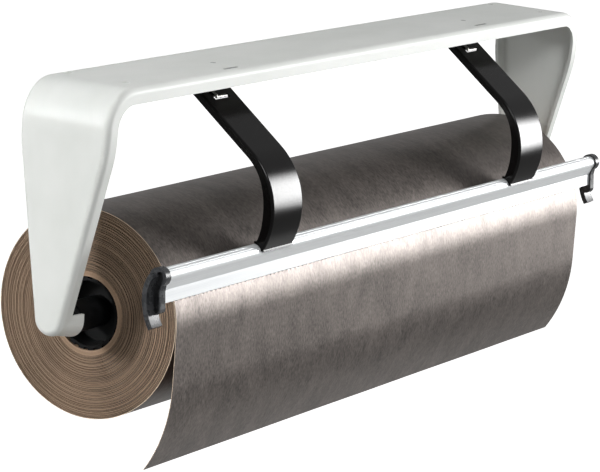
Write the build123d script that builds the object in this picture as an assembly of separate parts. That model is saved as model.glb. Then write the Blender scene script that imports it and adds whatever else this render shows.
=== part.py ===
from build123d import *
from math import acos, atan2, cos, degrees, hypot, radians, sin
import os

# Roll holder and cutter for gift wrap, screwed up under a shop counter.
# Millimetres.  +X runs along the roll from left to right, +Y to the back, +Z up.
# The origin is the centre of the beam's top face, which lies against the counter.
# Side views are drawn as (y, z) pairs, with angles in degrees from +Y towards +Z.

# Bracket: one bent and flanged steel sheet
FRAME_LENGTH = 575.0
FRAME_DEPTH = 62.0
SHEET = 2.0
FLANGE = 9.4
BEND_RADIUS = 24.0
EDGE_RADIUS = 4.0
TAPER_START = 35.0
TAPER_SOFTNESS = 80.0

# Round feet, and the flared cups in them that carry the roll
ROLL_Y = 3.2
ROLL_DROP = 138.7
FOOT_RADIUS = 10.2
FOOT_SHIFT = (1.0, 2.3)
FLARE_ROOT = 0.7
CUP_WIDTH = 20.2
CUP_LIP = 4.5
CRADLE_CLEARANCE = 0.3
JOURNAL_RADIUS = 8.4
JOURNAL_PLAY = 2.5
JOURNAL_CHAMFER = 0.8

# Paper roll on its cardboard core, with the free end hanging in front
ROLL_LENGTH = 500.0
ROLL_DIAMETER = 125.0
CORE_BORE = 44.0
CORE_WALL = 3.0
PAPER_THICKNESS = 0.4
PAPER_GAP = 0.3
TAIL_DROP = 31.0
TAIL_CURL_RADIUS = 94.0
TAIL_CURL_ANGLE = 34.6

# Moulded plugs in the core, whose hubs end in the cups
PLUG_GAP = 0.1
PLUG_DEPTH = 30.0
PLUG_WALL = 2.6
PLUG_RECESS = 1.2
PLUG_DISH = 11.0
PLUG_TAPER = 1.2
PLUG_FLOOR = 2.5
HUB_RADIUS = 9.3
HUB_SIDE_PLAY = 0.5
RIB_COUNT = 4
RIB_THICKNESS = 1.8
RIB_SETBACK = 6.0
NOTCH_COUNT = 20
NOTCH_WIDTH = 3.0
NOTCH_DEPTH = 2.0

# Hinges under the beam
ARM_SPACING = 307.0
PIVOT_Y = -1.5
PIVOT_DROP = 8.5
PIN_RADIUS = 2.0
PIN_HEAD = 3.4
PIN_HEAD_THICKNESS = 1.2
RUNNING_FIT = 0.05
BRACKET_SHEET = 1.5
BRACKET_SETBACK = 4.7
BRACKET_BACK = 6.0
BRACKET_EAR_RADIUS = 4.6
TONGUE_WIDTH = 14.0
TONGUE_SETBACK = 8.6
SLOT_MARGIN = 0.75
RIVET_RADIUS = 1.75
RIVET_HEAD_RADIUS = 3.2
RIVET_HEAD = 1.2
RIVET_X = 7.0
RIVET_Y = -5.3

# Counter screws through the beam
SCREW_HOLE_RADIUS = 2.25
SCREW_END_INSET = 35.5
SCREW_FRONT_INSET = 15.0
SCREW_BACK_INSET = 7.0

# Channel arms
ARM_WIDTH = 33.4
ARM_SHEET = 1.5
ARM_EDGE_RADIUS = 1.6
ARM_SLOPE = 37.2
ARM_FACE_RISE = 2.2
ARM_STRAIGHT = 61.3
ARM_FACE_START = 7.5
ARM_BEND_RADIUS = 45.4
ARM_FACE_END = 29.6
ARM_WALL = 4.5
ARM_WALL_BEND = 7.0
ARM_WALL_FOOT = 6.4
ARM_EAR_RADIUS = 5.0
EAR_SIDE_PLAY = 0.5
SLIT_DISTANCE = 18.3
SLIT_LENGTH = 16.0
SLIT_HEIGHT = 3.0
FOOT_FIT = 0.1
STRAP_START = 78.0
STRAP_END = 176.0

# Torsion springs on the hinge pins
WIRE_RADIUS = 0.8
SPRING_FIT = 0.3
SPRING_TURNS = 2
SPRING_PITCH = 1.9
SPRING_START = -11.2
SPRING_BAR = 10.6
SPRING_TAIL_ANGLE = 100.0

# Cutter rail, an aluminium extrusion, and the blade in its lip
RAIL_LENGTH = 530.0
BEAD_RADIUS = 4.5
BEAD_BORE = 2.1
BEAD_INSET = 4.2
BEAD_ANGLE = 33.7
BAND_START = (-3.5, -2.6)
LIP_KNEE = (-0.8, -8.4)
LIP_FOOT = (-1.2, -15.9)
LIP_THICKNESS = 2.4
GROOVE_ANGLES = (109.0, 132.5)
GROOVE_RADIUS = 0.35
BLADE_THICKNESS = 0.5
BLADE_HEIGHT = 5.5
BLADE_REACH = 1.2
BLADE_FIT = 0.1
BLADE_END_GAP = 8.5
TOOTH_PITCH = 4.5
TOOTH_DEPTH = 1.1
ARM_SCREW_RADIUS = 1.5
ARM_SCREW_LENGTH = 6.2
ARM_SCREW_HEAD_RADIUS = 2.8
ARM_SCREW_HEAD = 1.6
ARM_SCREW_ANGLE = 105.0

# Moulded end caps of the rail
CAP_THICKNESS = 5.0
CAP_MARGIN = 1.2
CAP_LEG_WIDTH = 7.0
CAP_LEG_KNEE = (1.2, -8.5)
CAP_LEG_FOOT = (0.4, -18.4)
CAP_PIN_LENGTH = 8.0
CAP_DISH = 2.6
CAP_DISH_TOP = (-1.4, 1.0)
CAP_RIM = 1.1
CAP_KEY_LENGTH = 6.0
CAP_KEY = (1.5, 5.0)
CAP_TAB_WIDTH = 10.0
CAP_TAB_THICKNESS = 3.2
CAP_TAB_TOP = (1.2, 1.5)
CAP_TAB_BULGE = (5.1, -11.0)
CAP_TAB_TIP = (-0.4, -29.3)

# Worked-out places
ROLL_AXIS = (ROLL_Y, -ROLL_DROP)
FOOT_CENTRE = (ROLL_Y + FOOT_SHIFT[0], FOOT_SHIFT[1] - ROLL_DROP)
PIVOT = (PIVOT_Y, -PIVOT_DROP)
ARM_X = ARM_SPACING / 2
ROLL_RADIUS = ROLL_DIAMETER / 2
CORE_RADIUS = CORE_BORE / 2 + CORE_WALL
FOOT_INSIDE = FRAME_LENGTH / 2 - EDGE_RADIUS
CUP_EDGE = FRAME_LENGTH / 2 - CUP_WIDTH
CUP_RADIUS = JOURNAL_RADIUS + CRADLE_CLEARANCE + SHEET
BRACKET_FRONT = FRAME_DEPTH / 2 - SHEET - BRACKET_SETBACK
TONGUE_Y = TONGUE_SETBACK - FRAME_DEPTH / 2


def along(start, distance, angle):
    """Point at a distance and an angle from a start point in the side view."""
    return (start[0] + distance * cos(radians(angle)), start[1] + distance * sin(radians(angle)))


def shifted(start, step):
    """Point moved by a (y, z) step in the side view."""
    return (start[0] + step[0], start[1] + step[1])


def angle_to(start, end):
    """Direction from one point to another in the side view."""
    return degrees(atan2(end[1] - start[1], end[0] - start[0]))


def tangent_point(point, centre, radius, side):
    """Where a line from an outer point touches a circle, on the side given as 1 or -1."""
    reach = hypot(point[0] - centre[0], point[1] - centre[1])
    return along(centre, radius, angle_to(centre, point) + side * degrees(acos(radius / reach)))


def side_slab(face, low, high):
    """Solid from a side view face, between two places along X."""
    return Pos(low, 0, 0) * extrude(Plane.YZ * face, amount=high - low)


def disc_slab(centre, radius, low, high):
    """Solid cylinder along X about a side view centre."""
    return side_slab(Pos(*centre) * Circle(radius), low, high)


def mirrored(shape):
    """The same shape on the other side of the middle of the roll."""
    return mirror(shape, about=Plane.YZ)


# Arm and rail geometry, drawn as if the rail stood at its drawing-board place
ARM_DOWN = 180 + ARM_SLOPE
FACE_OUT = 90 + ARM_SLOPE
FACE_FOOT = along(PIVOT, ARM_FACE_RISE, FACE_OUT)
ARC_START = along(FACE_FOOT, ARM_STRAIGHT, ARM_DOWN)
ARC_CENTRE = along(ARC_START, ARM_BEND_RADIUS, FACE_OUT + 180)
BEAD = along(ARC_CENTRE, ARM_BEND_RADIUS - BEAD_INSET, 180 + BEAD_ANGLE)
LIP_HEEL = (LIP_FOOT[0] + LIP_THICKNESS, LIP_FOOT[1])


def rest_swing():
    """Turn about the hinge that brings the heel of the lip onto the paper."""
    heel = shifted(BEAD, LIP_HEEL)
    arm = hypot(heel[0] - PIVOT[0], heel[1] - PIVOT[1])
    drop = hypot(ROLL_AXIS[0] - PIVOT[0], ROLL_AXIS[1] - PIVOT[1])
    reach = ROLL_RADIUS + 2 * PAPER_GAP + PAPER_THICKNESS
    opening = degrees(acos((drop**2 + arm**2 - reach**2) / (2 * drop * arm)))
    return angle_to(PIVOT, ROLL_AXIS) - opening - angle_to(PIVOT, heel)


def rested(shape):
    """A piece of the cutter, turned about the hinge until the rail rests on the roll."""
    return Pos(0, *PIVOT) * Rot(rest_swing(), 0, 0) * Pos(0, -PIVOT[0], -PIVOT[1]) * shape


# Bracket

def leg_outline():
    """Side view of the bracket: straight sides that taper to a round foot."""
    half = FRAME_DEPTH / 2
    front = tangent_point((-half, -TAPER_START), FOOT_CENTRE, FOOT_RADIUS, 1)
    back = tangent_point((half, -TAPER_START), FOOT_CENTRE, FOOT_RADIUS, -1)
    foot = ThreePointArc(front, (FOOT_CENTRE[0], FOOT_CENTRE[1] - FOOT_RADIUS), back)
    sides = Polyline(back, (half, -TAPER_START), (half, 0), (-half, 0), (-half, -TAPER_START), front)
    outline = make_face([foot, *sides.edges()])
    corners = [v for v in outline.vertices() if abs(v.Y + TAPER_START) < 0.01]
    return fillet(corners, TAPER_SOFTNESS)


def beam_outline(inset):
    """Front view of the space inside the bracket's bends, at an inset from its outside."""
    half = FRAME_LENGTH / 2 - inset
    depth = ROLL_DROP + 2 * FOOT_RADIUS
    outline = Pos(0, -inset - depth / 2) * Rectangle(2 * half, depth)
    corners = outline.vertices().group_by(Axis.Y)[-1]
    return fillet(corners, BEND_RADIUS - inset)


def rounded_block(outline, inset, radius):
    """Filled bracket shape whose edges along the beam and legs are rounded."""
    block = extrude(Plane.YZ * outline, amount=FRAME_LENGTH, both=True)
    block &= extrude(Plane.XZ * beam_outline(inset), amount=FRAME_DEPTH, both=True)
    return fillet(bend_edges(block, inset), radius)


def bend_edges(block, inset):
    """Edges that run along the beam's outside and down the legs."""
    half = FRAME_LENGTH / 2 - inset
    radius = BEND_RADIUS - inset
    found = []
    for edge in block.edges():
        middle = edge.position_at(0.5)
        start = edge.position_at(0)
        end = edge.position_at(1)
        across = abs(start.X - end.X) < 0.01 and abs(start.Z - end.Z) < 0.01
        corner = hypot(abs(middle.X) - half + radius, middle.Z + inset + radius)
        outside = (
            abs(middle.X) > half - 0.01
            or middle.Z > -inset - 0.01
            or (abs(middle.X) > half - radius and abs(corner - radius) < 0.01)
        )
        straight_across = across and edge.geom_type == GeomType.LINE
        if outside and not straight_across:
            found.append(edge)
    return found


def trough(centre, radius):
    """Side view of a trough: round below, with upright walls as high as the cup's lip."""
    lip = ROLL_AXIS[1] + CUP_LIP
    left = (centre[0] - radius, centre[1])
    right = (centre[0] + radius, centre[1])
    bottom = ThreePointArc(left, (centre[0], centre[1] - radius), right)
    walls = Polyline(right, (right[0], lip), (left[0], lip), left)
    return make_face([bottom, *walls.edges()])


def flare(inset):
    """Right-hand cup from inside the foot out to its wider mouth, at an inset from its outside."""
    root = trough(FOOT_CENTRE, FOOT_RADIUS - FLARE_ROOT - inset)
    mouth = trough(ROLL_AXIS, CUP_RADIUS - inset)
    ends = ((FRAME_LENGTH / 2 - SHEET, root), (CUP_EDGE, mouth))
    return loft([Pos(x, 0, 0) * (Plane.YZ * face) for x, face in ends], ruled=True)


def frame():
    """Bent bracket with its flanges, cradle cups, tongue slots and screw holes."""
    outline = leg_outline()
    body = rounded_block(outline, 0, EDGE_RADIUS)
    body -= extrude(Plane.XZ * beam_outline(FLANGE), amount=FRAME_DEPTH, both=True)
    body += [flare(0), mirrored(flare(0))]
    body -= rounded_block(offset(outline, amount=-SHEET), SHEET, EDGE_RADIUS - SHEET)
    body -= [flare(SHEET), mirrored(flare(SHEET))]
    slot = Box(TONGUE_WIDTH + 2 * SLOT_MARGIN, BRACKET_SHEET + 2 * SLOT_MARGIN, 4 * SHEET)
    for x in (-ARM_X, ARM_X):
        body -= Pos(x, TONGUE_Y, 0) * slot
        body -= Pos(x + RIVET_X, RIVET_Y, 0) * Cylinder(RIVET_RADIUS + RUNNING_FIT, 4 * SHEET)
    screw_x = FRAME_LENGTH / 2 - SCREW_END_INSET
    for x in (-screw_x, screw_x):
        for y in (SCREW_FRONT_INSET - FRAME_DEPTH / 2, FRAME_DEPTH / 2 - SCREW_BACK_INSET):
            body -= Pos(x, y, 0) * Cylinder(SCREW_HOLE_RADIUS, 4 * SHEET)
    return body


# Hinges

EAR_INSIDE = ARM_WIDTH / 2 - ARM_SHEET


def hinge_bracket():
    """Plate under the beam with a tongue up through its slot and two ears round the pin."""
    top = -SHEET
    half = EAR_INSIDE - EAR_SIDE_PLAY
    depth = BRACKET_FRONT + BRACKET_BACK
    middle = (BRACKET_BACK - BRACKET_FRONT) / 2
    plate = Pos(0, middle, top - BRACKET_SHEET / 2) * Box(2 * half, depth, BRACKET_SHEET)
    ear_top = top - BRACKET_SHEET / 2
    neck = Rectangle(2 * BRACKET_EAR_RADIUS, PIVOT_DROP + ear_top)
    neck = Pos(PIVOT_Y, (ear_top - PIVOT_DROP) / 2) * neck
    ear = neck + Pos(*PIVOT) * Circle(BRACKET_EAR_RADIUS)
    ear -= Pos(*PIVOT) * Circle(PIN_RADIUS + RUNNING_FIT)
    solid = plate + side_slab(ear, half - BRACKET_SHEET, half)
    solid += side_slab(ear, -half, BRACKET_SHEET - half)
    tongue_height = SHEET + BRACKET_SHEET / 2
    solid += Pos(0, TONGUE_Y, -tongue_height / 2) * Box(TONGUE_WIDTH, BRACKET_SHEET, tongue_height)
    solid -= Pos(RIVET_X, RIVET_Y, top) * Cylinder(RIVET_RADIUS + RUNNING_FIT, 4 * BRACKET_SHEET)
    return solid


def hinge_rivet():
    """Rivet that holds the plate to the beam, flush with the beam's top."""
    grip = SHEET + BRACKET_SHEET
    shank = Pos(0, 0, -grip / 2) * Cylinder(RIVET_RADIUS, grip)
    head = Pos(0, 0, -grip - RIVET_HEAD / 2) * Cylinder(RIVET_HEAD_RADIUS, RIVET_HEAD)
    return Pos(RIVET_X, RIVET_Y, 0) * (shank + head)


def hinge_pin():
    """Pin through the ears of the arm and the bracket, headed at both ends."""
    grip = ARM_WIDTH / 2 + EAR_SIDE_PLAY / 2
    pin = disc_slab(PIVOT, PIN_RADIUS, -grip, grip)
    head = disc_slab(PIVOT, PIN_HEAD, grip, grip + PIN_HEAD_THICKNESS)
    head = chamfer(head.edges().group_by(Axis.X)[-1], PIN_HEAD_THICKNESS / 2)
    return pin + head + mirrored(head)


# Arms

def face_path(depth, start, end_angle):
    """Side view line that follows the arm's face at a depth behind it."""
    inward = FACE_OUT + 180
    radius = ARM_BEND_RADIUS - depth
    first = along(along(FACE_FOOT, start, ARM_DOWN), depth, inward)
    straight = Line(first, along(ARC_START, depth, inward))
    bend = ThreePointArc(
        along(ARC_CENTRE, radius, FACE_OUT),
        along(ARC_CENTRE, radius, (FACE_OUT + end_angle) / 2),
        along(ARC_CENTRE, radius, end_angle),
    )
    return [straight, bend]


def channel_strip(outer, inner, start, end_angle):
    """Side view strip between two depths behind the arm's face."""
    front = face_path(outer, start, end_angle)
    back = face_path(inner, start, end_angle)
    top = Line(front[0] @ 0, back[0] @ 0)
    foot = Line(front[1] @ 1, back[1] @ 1)
    return make_face([*front, *back, top, foot])


def wall_outline():
    """Side view of the channel: shallow along the straight, deeper round the bend."""
    inward = FACE_OUT + 180
    end_angle = 180 + ARM_FACE_END
    front = face_path(0, 0, end_angle)
    rear_start = along(ARC_START, ARM_WALL, inward)
    rear_middle = along(ARC_CENTRE, ARM_BEND_RADIUS - ARM_WALL_BEND, 180)
    rear_end = along(ARC_CENTRE, ARM_BEND_RADIUS - ARM_WALL_FOOT, end_angle)
    down = along((0, 0), 1, ARM_DOWN)
    round_foot = along((0, 0), 1, end_angle + 90)
    rear = Spline(rear_start, rear_middle, rear_end, tangents=[down, round_foot])
    back = Line(along(FACE_FOOT, ARM_WALL, inward), rear_start)
    top = Line(FACE_FOOT, along(FACE_FOOT, ARM_WALL, inward))
    foot = Line(front[1] @ 1, rear_end)
    return make_face([*front, foot, rear, back, top])


def channel():
    """Bent channel with rounded face edges, its face cut away near the hinge."""
    half = ARM_WIDTH / 2
    inside = half - ARM_SHEET
    past_foot = 180 + 2 * ARM_FACE_END
    block = side_slab(wall_outline(), -half, half)
    long_edges = [edge for edge in block.edges() if on_arm_face(edge)]
    block = fillet(long_edges, ARM_EDGE_RADIUS)
    block -= side_slab(channel_strip(ARM_SHEET, 3 * ARM_WALL, -ARM_WALL, past_foot), -inside, inside)
    opening = Pos(0, -ARM_FACE_START / 2) * Rectangle(4 * ARM_WALL, 2 * ARM_FACE_START)
    opening = Pos(*FACE_FOOT) * Rot(0, 0, ARM_DOWN + 90) * opening
    return block - side_slab(opening, -inside, inside)


def on_arm_face(edge):
    """Whether an edge is a long side of the channel's outer face."""
    ends = [edge.position_at(share) for share in (0, 0.5, 1)]
    turn = radians(FACE_OUT)
    if max(abs(ends[0].X - end.X) for end in ends) > 0.01:
        return False
    bend = [abs(hypot(p.Y - ARC_CENTRE[0], p.Z - ARC_CENTRE[1]) - ARM_BEND_RADIUS) for p in ends]
    rise = [abs((p.Y - FACE_FOOT[0]) * cos(turn) + (p.Z - FACE_FOOT[1]) * sin(turn)) for p in ends]
    return max(bend) < 0.01 or max(rise) < 0.01


def foot_strap():
    """Saddle strip between the channel's walls, bent over the rail's bead."""
    inside = BEAD_RADIUS + FOOT_FIT
    far = 4 * BEAD_RADIUS
    ring = Pos(*BEAD) * (Circle(inside + ARM_SHEET) - Circle(inside))
    sector = Polyline(BEAD, along(BEAD, far, STRAP_START), along(BEAD, far, STRAP_END), BEAD)
    reach = (ARM_WIDTH - ARM_SHEET) / 2
    return side_slab(ring & make_face(sector), -reach, reach)


def cutter_arm():
    """Curved channel arm, with ears at the hinge and a saddle round the rail's bead."""
    half = ARM_WIDTH / 2
    ear = disc_slab(PIVOT, ARM_EAR_RADIUS, half - ARM_SHEET, half)
    arm = channel() + foot_strap() + ear + mirrored(ear)
    arm -= disc_slab(PIVOT, PIN_RADIUS + RUNNING_FIT, -ARM_WIDTH, ARM_WIDTH)
    arm -= disc_slab(BEAD, BEAD_RADIUS + FOOT_FIT, -ARM_WIDTH, ARM_WIDTH)
    arm -= screw_frame() * Cylinder(ARM_SCREW_RADIUS + RUNNING_FIT, 2 * BEAD_RADIUS)
    slit = Box(SLIT_LENGTH, SLIT_HEIGHT, 4 * ARM_SHEET)
    return arm - Pos(0, *along(FACE_FOOT, SLIT_DISTANCE, ARM_DOWN)) * Rot(ARM_SLOPE, 0, 0) * slit


def screw_frame():
    """Location on the outside of the strap, with Z away from the bead."""
    seat = along(BEAD, BEAD_RADIUS + FOOT_FIT + ARM_SHEET, ARM_SCREW_ANGLE)
    return Pos(0, *seat) * Rot(ARM_SCREW_ANGLE - 90, 0, 0)


def arm_screw():
    """Pan-head screw from the strap into the bead."""
    shank = Pos(0, 0, -ARM_SCREW_LENGTH / 2) * Cylinder(ARM_SCREW_RADIUS, ARM_SCREW_LENGTH)
    head = Pos(0, 0, ARM_SCREW_HEAD / 2) * Cylinder(ARM_SCREW_HEAD_RADIUS, ARM_SCREW_HEAD)
    head = chamfer(head.edges().group_by(Axis.Z)[-1], ARM_SCREW_HEAD / 2)
    return screw_frame() * (shank + head)


def arm_spring():
    """Torsion spring on the pin: one leg hooks into the arm, the other bears on the plate."""
    radius = PIN_RADIUS + SPRING_FIT + WIRE_RADIUS
    length = (SPRING_TURNS + (FACE_OUT - SPRING_TAIL_ANGLE) / 360) * SPRING_PITCH
    helix = Helix(pitch=SPRING_PITCH, height=length, radius=radius, direction=(1, 0, 0))
    start = helix @ 0
    turn = SPRING_TAIL_ANGLE - angle_to((0, 0), (start.Y, start.Z))
    coil = (Pos(SPRING_START, *PIVOT) * Rot(turn, 0, 0) * helix).edge()
    plate_gap = -SHEET - BRACKET_SHEET - WIRE_RADIUS - RUNNING_FIT - (coil @ 0).Z
    tail_length = plate_gap / sin(radians(SPRING_TAIL_ANGLE - 90))
    knee_length = SLIT_DISTANCE - SLIT_HEIGHT / 2 + WIRE_RADIUS
    tail = Edge.make_line(coil @ 0 - (coil % 0) * tail_length, coil @ 0)
    leg = Edge.make_line(coil @ 1, coil @ 1 + (coil % 1) * knee_length)
    path = Wire([tail, coil, leg])
    spring = sweep(Plane(origin=path @ 0, z_dir=path % 0) * Circle(WIRE_RADIUS), path=path)
    knee = path @ 1
    hook = Vector(knee.X, *along(FACE_FOOT, SLIT_DISTANCE, ARM_DOWN))
    bar_end = hook + Vector(SPRING_BAR, 0, 0)
    for begin, end in ((knee, hook), (hook, bar_end)):
        reach = end - begin
        rod = extrude(Plane(origin=begin, z_dir=reach) * Circle(WIRE_RADIUS), amount=reach.length)
        spring += rod + Pos(begin) * Sphere(WIRE_RADIUS)
    return spring


# Rail

def rail_section():
    """Outline of the rail about its bead: bead, sloping band and upright lip."""
    band = hypot(LIP_KNEE[0] - BAND_START[0], LIP_KNEE[1] - BAND_START[1])
    lean = angle_to(BAND_START, LIP_KNEE)
    band_rear = along(BAND_START, LIP_THICKNESS, lean + 90)
    knee_rear = along(band_rear, band, lean)
    web = Polyline(BAND_START, LIP_KNEE, LIP_FOOT, LIP_HEEL, knee_rear, band_rear, BAND_START)
    return Circle(BEAD_RADIUS) + make_face(web)


def lip_place():
    """Middle of the lip's lower edge, relative to the bead."""
    return (LIP_FOOT[0] + LIP_THICKNESS / 2, LIP_FOOT[1])


def rail_slab(face, low, high):
    """Solid from a face drawn about the bead, between two places along X."""
    return side_slab(Pos(*BEAD) * face, low, high)


def cutter_rail():
    """Extruded rail with its screw bore, bead grooves, blade slot and arm screw holes."""
    half = RAIL_LENGTH / 2
    section = rail_section() - Circle(BEAD_BORE)
    for angle in GROOVE_ANGLES:
        section -= Pos(*along((0, 0), BEAD_RADIUS, angle)) * Circle(GROOVE_RADIUS)
    slot_top = BLADE_HEIGHT - BLADE_REACH + BLADE_FIT
    slot = Rectangle(BLADE_THICKNESS + 2 * BLADE_FIT, 2 * slot_top)
    rail = rail_slab(section - Pos(*lip_place()) * slot, -half, half)
    for x in (-ARM_X, ARM_X):
        hole = Cylinder(ARM_SCREW_RADIUS + RUNNING_FIT, 2 * ARM_SCREW_LENGTH)
        rail -= Pos(x, 0, 0) * screw_frame() * hole
    return rail


def tear_blade():
    """Toothed steel strip held in the lip, its teeth just below the edge."""
    half = RAIL_LENGTH / 2 - BLADE_END_GAP
    count = int(2 * half / TOOTH_PITCH)
    start = -count * TOOTH_PITCH / 2
    foot = lip_place()
    low = BEAD[1] + foot[1] - BLADE_REACH
    top = low + BLADE_HEIGHT
    points = []
    for tooth in range(count):
        x = start + tooth * TOOTH_PITCH
        points += [(x, low + TOOTH_DEPTH), (x + TOOTH_PITCH / 2, low)]
    points += [(-start, low + TOOTH_DEPTH), (-start, top), (start, top), points[0]]
    strip = extrude(Plane.XZ * make_face(Polyline(*points)), amount=BLADE_THICKNESS / 2, both=True)
    return Pos(0, BEAD[0] + foot[0], 0) * strip


def cap_leg(top, width):
    """Side view band from a top point down through the cap's knee to its rounded foot."""
    path = Polyline(top, CAP_LEG_KNEE, CAP_LEG_FOOT)
    return trace(path, line_width=width) + Pos(*CAP_LEG_FOOT) * Circle(width / 2)


def rail_cap():
    """Right-hand end cap: a dished leg on the rail's end, with a curved finger tab behind."""
    end = RAIL_LENGTH / 2
    outer = end + CAP_THICKNESS
    outline = Circle(BEAD_RADIUS + CAP_MARGIN) + cap_leg((0, 0), CAP_LEG_WIDTH)
    cap = rail_slab(outline, end, outer)
    dish_width = CAP_LEG_WIDTH - 2 * CAP_RIM
    dish = cap_leg(CAP_DISH_TOP, dish_width) + Pos(*CAP_DISH_TOP) * Circle(dish_width / 2)
    cap -= rail_slab(dish, outer - CAP_DISH, outer + CAP_DISH)
    upper = TangentArc(CAP_TAB_BULGE, CAP_TAB_TOP, tangent=(0, 1))
    lower = TangentArc(CAP_TAB_BULGE, CAP_TAB_TIP, tangent=(0, -1))
    tab = trace([upper, lower], line_width=CAP_TAB_THICKNESS)
    cap += rail_slab(tab, end, end + CAP_TAB_WIDTH)
    cap += rail_slab(Circle(BEAD_BORE - PLUG_GAP), end - CAP_PIN_LENGTH, end)
    return cap + rail_slab(cap_key(), end - CAP_KEY_LENGTH, end)


def cap_key():
    """Side view of the key that lies behind the lip and keeps the cap from turning."""
    behind = LIP_HEEL[0] + BLADE_FIT + CAP_KEY[0]
    return Pos(behind, (LIP_KNEE[1] + LIP_HEEL[1]) / 2) * Rectangle(*CAP_KEY)


# Roll

def ring_slab(outer, inner, low, high):
    """Tube about the roll's axis."""
    return side_slab(Pos(*ROLL_AXIS) * (Circle(outer) - Circle(inner)), low, high)


def journal_radius(x):
    """Radius of the hub's cone, which clears the nearest side of the cup by the same gap all along."""
    root = FOOT_RADIUS - FLARE_ROOT - SHEET - CRADLE_CLEARANCE - hypot(*FOOT_SHIFT)
    share = (x - CUP_EDGE) / (FRAME_LENGTH / 2 - SHEET - CUP_EDGE)
    return JOURNAL_RADIUS + share * (root - JOURNAL_RADIUS)


def plug_profile():
    """Half section of the right-hand plug, as (place along X, radius)."""
    mouth = ROLL_LENGTH / 2 - PLUG_RECESS
    back = mouth - PLUG_DEPTH
    floor = mouth - PLUG_DISH
    web = floor - PLUG_FLOOR
    rim = CORE_BORE / 2 - PLUG_GAP
    inside = rim - PLUG_WALL
    bore = HUB_RADIUS - PLUG_WALL
    shoulder = CUP_EDGE - HUB_SIDE_PLAY
    nose = FOOT_INSIDE - JOURNAL_PLAY
    nose_edge = nose - JOURNAL_CHAMFER
    rim_points = [(back, rim), (mouth, rim), (mouth, inside)]
    dish = [(floor, inside - PLUG_TAPER), (floor, HUB_RADIUS), (shoulder, HUB_RADIUS)]
    journal = [(shoulder, journal_radius(shoulder)), (nose_edge, journal_radius(nose_edge))]
    tip = [(nose, journal_radius(nose) - JOURNAL_CHAMFER), (nose, 0), (shoulder, 0)]
    hollow = [(shoulder, bore), (back, bore), (back, HUB_RADIUS), (web, HUB_RADIUS)]
    rear = [(web, inside), (back, inside), (back, rim)]
    return make_face(Polyline(*rim_points, *dish, *journal, *tip, *hollow, *rear))


def core_plug():
    """Right-hand plug: notched rim, dish, ribs behind its floor and the hub for the cup."""
    place = Pos(0, *ROLL_AXIS)
    plug = place * revolve(plug_profile(), axis=Axis.X)
    mouth = ROLL_LENGTH / 2 - PLUG_RECESS
    floor = mouth - PLUG_DISH
    rim = CORE_BORE / 2 - PLUG_GAP
    inside = rim - PLUG_WALL
    rib_length = PLUG_DEPTH - PLUG_DISH - RIB_SETBACK
    rib = Box(rib_length, inside - HUB_RADIUS + PLUG_GAP, RIB_THICKNESS)
    rib = Pos(floor - rib_length / 2, (HUB_RADIUS + inside) / 2, 0) * rib
    notch = Pos(mouth, rim, 0) * Box(2 * NOTCH_DEPTH, PLUG_WALL, NOTCH_WIDTH)
    for index in range(RIB_COUNT):
        plug += place * Rot(index * 360 / RIB_COUNT, 0, 0) * rib
    for index in range(NOTCH_COUNT):
        plug -= place * Rot(index * 360 / NOTCH_COUNT, 0, 0) * notch
    return plug


def cardboard_core():
    """Spiral-wound tube inside the paper."""
    return ring_slab(CORE_RADIUS, CORE_BORE / 2, -ROLL_LENGTH / 2, ROLL_LENGTH / 2)


def paper_roll():
    """Wound paper, a little clear of the core."""
    return ring_slab(ROLL_RADIUS, CORE_RADIUS + PLUG_GAP, -ROLL_LENGTH / 2, ROLL_LENGTH / 2)


def paper_tail():
    """Free end of the sheet: round the roll from under the lip, straight down, curling back."""
    radius = ROLL_RADIUS + PAPER_GAP + PAPER_THICKNESS / 2
    lip = shifted(BEAD, lip_place())
    start = angle_to(ROLL_AXIS, lip)
    top = along(ROLL_AXIS, radius, start)
    front = along(ROLL_AXIS, radius, 180)
    wrap = ThreePointArc(top, along(ROLL_AXIS, radius, (start + 180) / 2), front)
    drop = (front[0], front[1] - TAIL_DROP)
    hang = Line(front, drop)
    curl_centre = (drop[0] + TAIL_CURL_RADIUS, drop[1])
    curl = ThreePointArc(
        drop,
        along(curl_centre, TAIL_CURL_RADIUS, 180 + TAIL_CURL_ANGLE / 2),
        along(curl_centre, TAIL_CURL_RADIUS, 180 + TAIL_CURL_ANGLE),
    )
    sheet = trace([wrap, hang, curl], line_width=PAPER_THICKNESS)
    return side_slab(sheet, -ROLL_LENGTH / 2, ROLL_LENGTH / 2)


def on_both_arms(shape):
    """One shape at each arm, as (left, right)."""
    return (Pos(-ARM_X, 0, 0) * shape, Pos(ARM_X, 0, 0) * shape)


def build():
    """Every sub-part by its node name."""
    brackets = on_both_arms(hinge_bracket())
    pins = on_both_arms(hinge_pin())
    arms = on_both_arms(rested(cutter_arm()))
    springs = on_both_arms(rested(arm_spring()))
    cap = rested(rail_cap())
    plug = core_plug()
    return {
        "frame": frame(),
        "hinge_bracket_left": brackets[0],
        "hinge_bracket_right": brackets[1],
        "hinge_rivets": Compound(children=on_both_arms(hinge_rivet())),
        "hinge_pin_left": pins[0],
        "hinge_pin_right": pins[1],
        "arm_spring_left": springs[0],
        "arm_spring_right": springs[1],
        "cutter_arm_left": arms[0],
        "cutter_arm_right": arms[1],
        "arm_screws": Compound(children=on_both_arms(rested(arm_screw()))),
        "cutter_rail": rested(cutter_rail()),
        "tear_blade": rested(tear_blade()),
        "rail_cap_left": mirrored(cap),
        "rail_cap_right": cap,
        "core_plug_left": mirrored(plug),
        "core_plug_right": plug,
        "cardboard_core": cardboard_core(),
        "paper_roll": paper_roll(),
        "paper_tail": paper_tail(),
    }


os.makedirs("parts", exist_ok=True)
for name, shape in build().items():
    export_step(shape, f"parts/{name}.step")
print("rest swing", round(rest_swing(), 3), "bead", [round(value, 2) for value in BEAD])
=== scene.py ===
"""Finishes, paper and studio for an under-counter gift wrap holder with a cutter rail."""

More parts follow.
